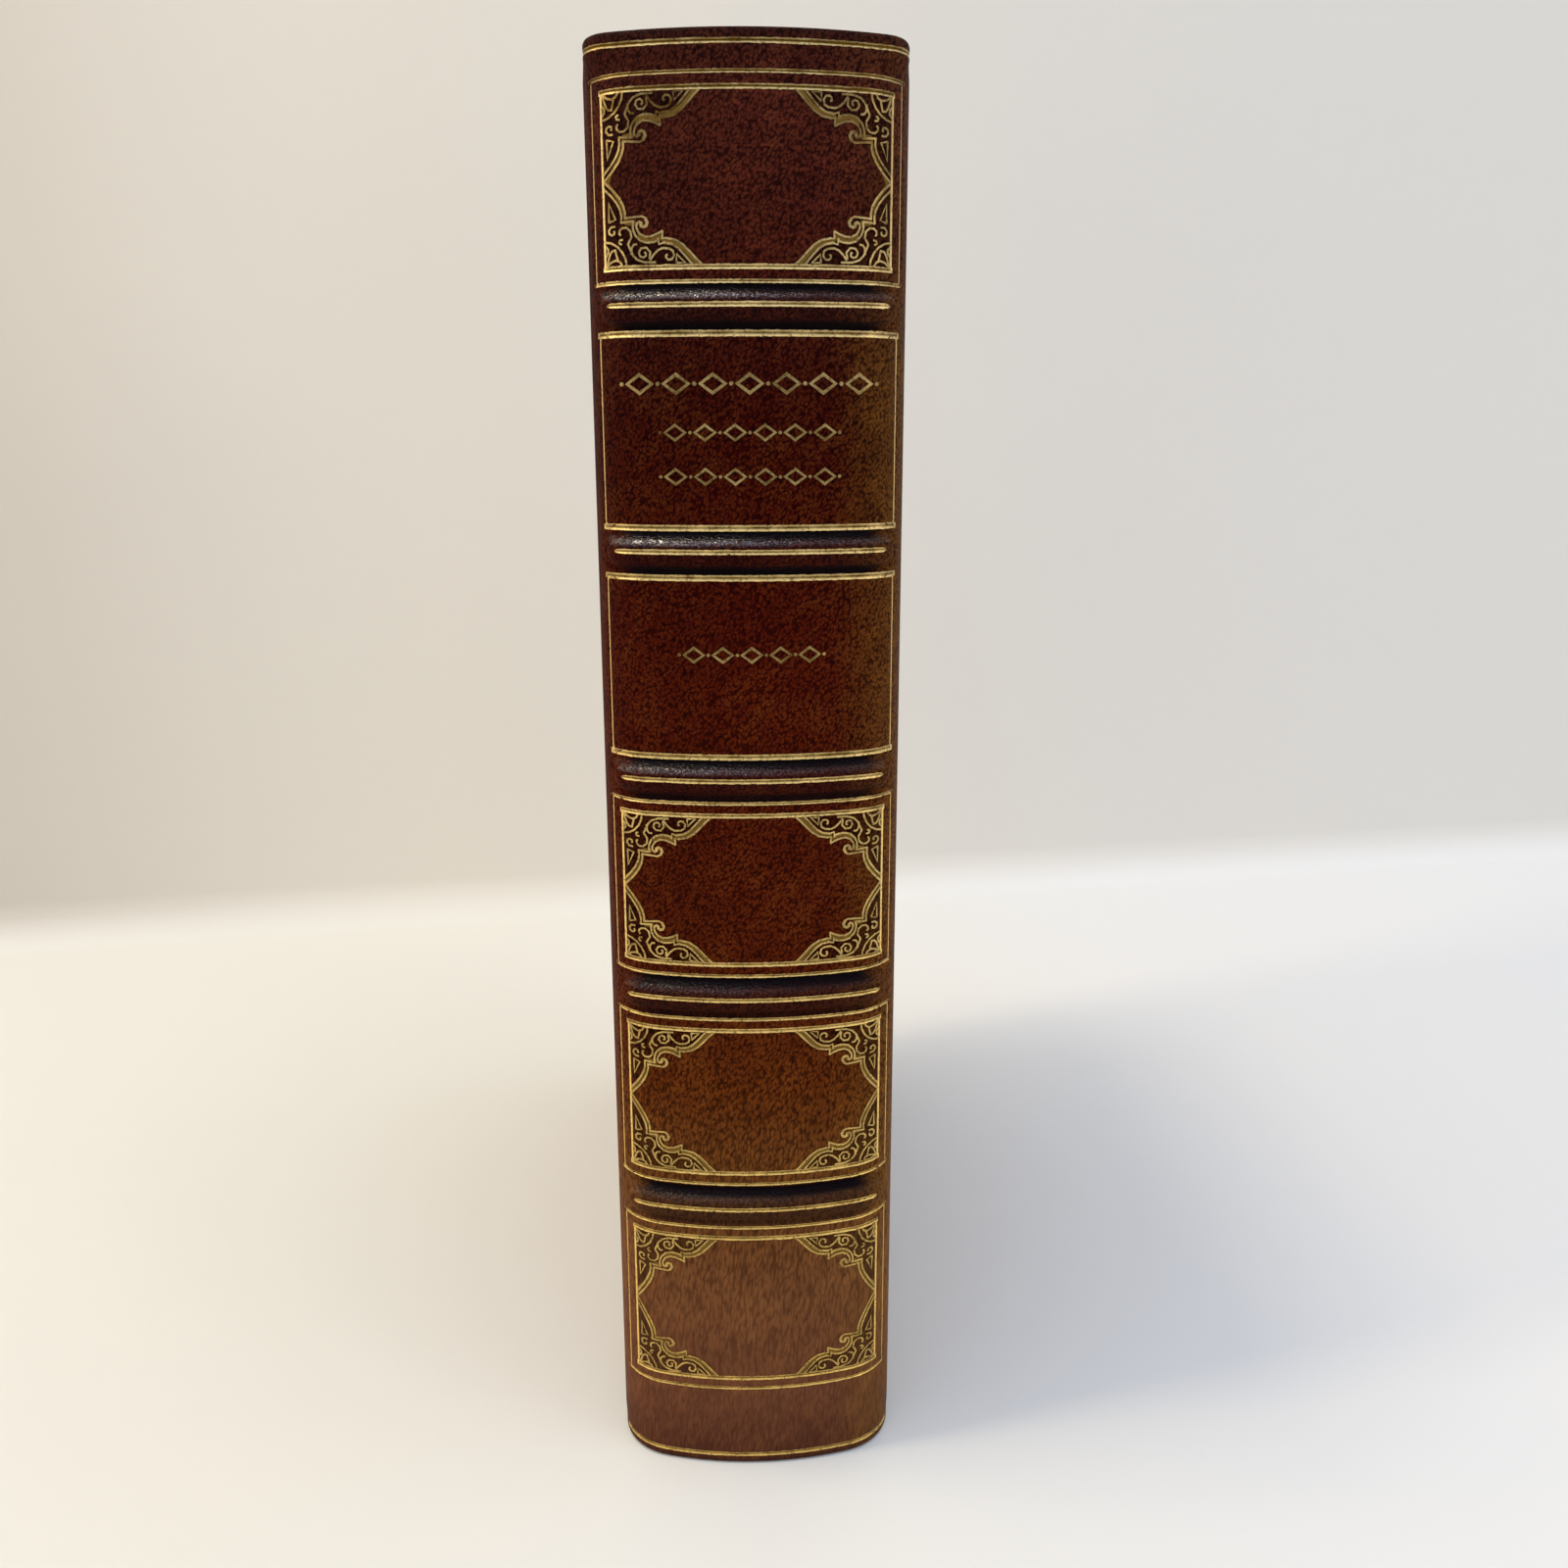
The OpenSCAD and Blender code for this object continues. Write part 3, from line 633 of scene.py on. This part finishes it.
gold = gold_leaf("worn_gold_leaf", 0)
leaf_lift = 0.04 * MM
leaf_t = 0.03 * MM
ragged = 0.1 * MM
# How bright a line is painted across its width, from its upper edge to its lower: painted shade in the
# middle and a painted highlight at the lower edge, which faces the light from above
PAINTED_LIGHT_ACROSS = (0.1, 0.05, -0.3, -0.42, 0.15, 0.5, 0.4)


def lay_leaf(node, strips):
    """Strips of leaf as one piece, in place of a node. Each is the number of squares along it, and the
    function that gives s, z, u and the painted highlight or shade at a point along and across it."""
    whole = bmesh.new()
    for along, place in strips:
        bm = bmesh.new()
        rolled_layer = bm.verts.layers.float.new("rolled")
        bmesh.ops.create_grid(bm, x_segments=along, y_segments=len(PAINTED_LIGHT_ACROSS) - 1, size=1)
        for v in bm.verts:
            s, z, u, v[rolled_layer] = place((v.co.x + 1) / 2, v.co.y)
            jog = ragged * noise.noise(Vector((s, z, 0)) / (0.5 * MM)) * abs(v.co.y)
            v.co = on_leather(s, z + jog, u + leaf_lift)
        bmesh.ops.remove_doubles(bm, verts=bm.verts, dist=0.001 * MM)
        bmesh.ops.recalc_face_normals(bm, faces=bm.faces)
        if sum(f.normal.y * f.calc_area() for f in bm.faces) > 0:
            bmesh.ops.reverse_faces(bm, faces=bm.faces)
        bmesh.ops.solidify(bm, geom=bm.faces[:], thickness=leaf_t)
        part = bpy.data.meshes.new("strip")
        bm.to_mesh(part)
        bm.free()
        whole.from_mesh(part)
        bpy.data.meshes.remove(part)
    made = to_object(node.replace("gilt", "gold"), whole)
    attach(made, "book_block")
    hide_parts(node)
    dress(made, gold)


def straight(z, half_s, w, base):
    """A line across the back, drawn in to a point at both ends"""
    def place(t, d):
        s = half_s * (2 * t - 1)
        near_end = min(smooth_step(min(t, 1 - t) * 2 * half_s, 0, 0.8 * MM) + 0.25, 1)
        away = d * near_end * w / 2
        return s, z + away, base + pressed(away, w), PAINTED_LIGHT_ACROSS[round(3 - 3 * d)]
    return place


def loop(half, z0, z1, w, sw, across, up):
    """A line round a compartment, mitred at its corners"""
    def place(t, d):
        k = round(t * 2 * (across + up))
        hx, low_z, high_z = half + d * sw / 2, z0 - d * w / 2, z1 + d * w / 2
        bright = PAINTED_LIGHT_ACROSS[-2]
        if k <= across:
            x, z, bright = hx * (2 * k / across - 1), low_z, PAINTED_LIGHT_ACROSS[round(3 + 3 * d)]
        elif k < across + up:
            x, z = hx, low_z + (high_z - low_z) * (k - across) / up
        elif k <= 2 * across + up:
            x, z = hx * (1 - 2 * (k - across - up) / across), high_z
            bright = PAINTED_LIGHT_ACROSS[round(3 - 3 * d)]
        else:
            x, z = -hx, high_z - (high_z - low_z) * (k - 2 * across - up) / up
        return way_round(x), z, pressed(d * w / 2, w), bright
    return place


lay_leaf("gilt_cap_lines", [(120, straight(z, cap_line_s, across_w, 0)) for z in cap_z])
lay_leaf("gilt_band_lines",
         [(100, straight(z + band_line_up, band_end_s, across_w, band_proud)) for z in band_z])
along_top, along_side = 100, 50
round_it = 2 * (along_top + along_side)
for node, loops in frames.items():
    lay_leaf(node, [(round_it, loop(*line, along_top, along_side)) for line in loops])

# GOLD CORNER PIECES AND LOZENGES
# Small engraved brass tools, pressed once in each corner through the leaf. They stay as the CAD
# part has them.
faint_gold = gold_leaf("rubbed_gold_leaf", 0.25)
for node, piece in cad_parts.items():
    if node.startswith("gilt_corners"):
        dress(piece, gold)
    if node.startswith("gilt_lozenges"):
        dress(piece, faint_gold)

# PAGES
# Sections of rag paper, folded, sewn, pressed and trimmed at head, tail and fore edge. Their cut
# edges are fine cream and tan lines. The flyleaves and pastedowns are wove paper, faintly cloudy.


def fibrous(name, light, dark, size, stretch=(1, 1, 1)):
    """Paper, board or cloth: two close shades in fibres of a given size, drawn out if asked"""
    made = new_material(name)
    spot = add(made, "Mapping", {"Vector": add(made, "TexCoord").outputs["Object"],
                                 "Scale": stretch}).outputs[0]
    fibres = add(made, "TexNoise", {"Vector": spot, "Scale": 1 / size, "Detail": 4.0,
                                    "Roughness": 0.6}).outputs[0]
    spread = add(made, "MapRange", {"Value": fibres, "From Min": 0.3, "From Max": 0.7}).outputs[0]
    colour = add(made, "Mix", {0: spread, 6: paint(light), 7: paint(dark)}, data_type="RGBA")
    bump = add(made, "Bump", {"Height": fibres, "Strength": 0.5, "Distance": 0.05 * MM})
    show(made, add(made, "BsdfPrincipled", {"Base Color": colour.outputs[2], "Roughness": 0.85,
                                            "Specular IOR Level": 0.2, "Normal": bump.outputs[0]}))
    return made


# Leaf edges show as lines 0.25 mm apart across the thickness, long in both other directions
page_edges = fibrous("cut_page_edges", "#dccba6", "#b39a6e", 0.25 * MM, stretch=(1, 0.004, 0.004))
dress(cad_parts["text_block"], page_edges)
endpaper = fibrous("wove_endpaper", "#e9dfc8", "#dccfb2", 6 * MM)
for side in ("front", "back"):
    dress(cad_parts[f"{side}_flyleaf"], endpaper)
    dress(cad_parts[f"{side}_pastedown"], endpaper)

# LININGS, TAPES AND BAND STRIPS
# What the spine leather hides: linen tapes, a lining of open cloth and paper, and strips of thick
# leather glued on it. All are matt and plain, the cloths with close threads.
linen = fibrous("linen_tape", "#cdbb95", "#a8936a", 0.6 * MM)
lining = fibrous("mull_lining", "#b99f76", "#957b54", 0.8 * MM)
strip = fibrous("sole_leather_strip", "#a2744a", "#7b5230", 1.5 * MM)
dress(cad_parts["sewing_tapes"], linen)
dress(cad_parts["spine_lining"], lining)
for i in range(1, 6):
    dress(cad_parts[f"raised_band_{i}"], strip)

# ENDBANDS
# Cords worked over with silk in two colours, wound side by side and sewn down at head and tail.
# The silk gives stripes of red and straw, ribbed by its threads, with a soft sheen.
stripe_pitch = 1.6 * MM
thread_pitch = 0.4 * MM
silk = new_material("two_colour_silk")
spot = add(silk, "SeparateXYZ", {0: add(silk, "TexCoord").outputs["Object"]})
turns = add(silk, "Math", {0: spot.outputs["X"], 1: 2 * math.pi / stripe_pitch},
            operation="MULTIPLY")
wave = add(silk, "Math", {0: turns.outputs[0]}, operation="SINE")
stripe = add(silk, "MapRange", {"Value": wave.outputs[0], "From Min": -0.1, "From Max": 0.1})
threads = add(silk, "Math", {0: spot.outputs["X"], 1: 2 * math.pi / thread_pitch},
              operation="MULTIPLY")
ridges = add(silk, "Math", {0: threads.outputs[0]}, operation="SINE")
colour = add(silk, "Mix", {0: stripe.outputs[0], 6: paint("#7c1f1c"), 7: paint("#d9c48c")},
             data_type="RGBA")
bump = add(silk, "Bump", {"Height": ridges.outputs[0], "Strength": 0.6, "Distance": 0.06 * MM})
show(silk, add(silk, "BsdfPrincipled", {"Base Color": colour.outputs[2], "Roughness": 0.45,
                                        "Sheen Weight": 0.4, "Normal": bump.outputs[0]}))
for end in ("head", "tail"):
    dress(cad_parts[f"{end}_endband"], silk)

# COVERS
# Millboards covered in the same goatskin, which is turned in round their edges and pasted down.
# Millboard is grey rope fibre rolled hard, matt and faintly mottled.
millboard = fibrous("millboard", "#8c8577", "#6b6558", 1.2 * MM)
for side in ("front", "back"):
    dress(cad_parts[f"{side}_cover_leather"], leather)
    dress(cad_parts[f"{side}_board"], millboard)

# JOINTS
# The leather of the back runs on over each joint to the board, and inside it the endpaper runs from
# the flyleaf to the board.
joint_reach = 3 * MM
joint_proud = 0.22 * MM
joint_sunk = 0.1 * MM
hinge_x = 24.87 * MM
hinge_y = -67.99 * MM
paper_x = 24.5 * MM
paper_r = 0.11 * MM
# The part of the paper's width, out from its middle, that lies in the fold
in_fold = 0.4
pasted_low, pasted_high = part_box("front_pastedown")


def leather_over_joint(t, up):
    """The strip of leather, sunk at its edges and ends: t across it, up along it, each -1 to 1"""
    ends = smooth_step(1 - abs(up), 0, 0.03)
    lift = joint_proud * ends * (1 - t ** 4) - joint_sunk
    z = low.z + (high.z - low.z) / 2 * (1 + 0.99 * up)
    if t < 0:
        return *round_back(joint_s + t * joint_reach, lift), z
    return outer_x + lift, shoulder_centre.y + t * joint_reach, z


def paper_in_joint(t, up):
    """The fold of endpaper, from the flyleaf round the joint to the board"""
    z = (pasted_low.z + pasted_high.z) / 2 + up * (pasted_high.z - pasted_low.z) / 2
    if abs(t) > in_fold:
        inner_x = pasted_low.x if t > 0 else pasted_low.x - 0.3 * MM
        x = paper_x + (abs(t) - in_fold) / (1 - in_fold) * (inner_x - paper_x)
        return x, hinge_y + math.copysign(paper_r, t), z
    turn = t / in_fold * math.pi / 2
    return paper_x + paper_r * math.cos(turn), hinge_y + paper_r * math.sin(turn), z


for side, mirror in (("front", 1), ("back", -1)):
    for name, place, thick, material, slot, start_y, end_y in (
            ("leather_joint", leather_over_joint, 0.15, leather, "leather", -69.2, -66.8),
            ("paper_joint", paper_in_joint, 0.04, endpaper, "endpaper", -68.06, -67.92)):
        bm = bmesh.new()
        bmesh.ops.create_grid(bm, x_segments=20, y_segments=60, size=1)
        for v in bm.verts:
            x, y, z = place(v.co.x, v.co.y)
            v.co = mirror * x, y, z
        bmesh.ops.recalc_face_normals(bm, faces=bm.faces)
        if mirror * sum(f.normal.x * f.calc_area() for f in bm.faces) < 0:
            bmesh.ops.reverse_faces(bm, faces=bm.faces)
        bmesh.ops.solidify(bm, geom=bm.faces[:], thickness=thick * MM)
        sheet = to_object(f"{side}_{name}", bm)
        dress(sheet, material)
        x = mirror * hinge_x
        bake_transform(sheet)
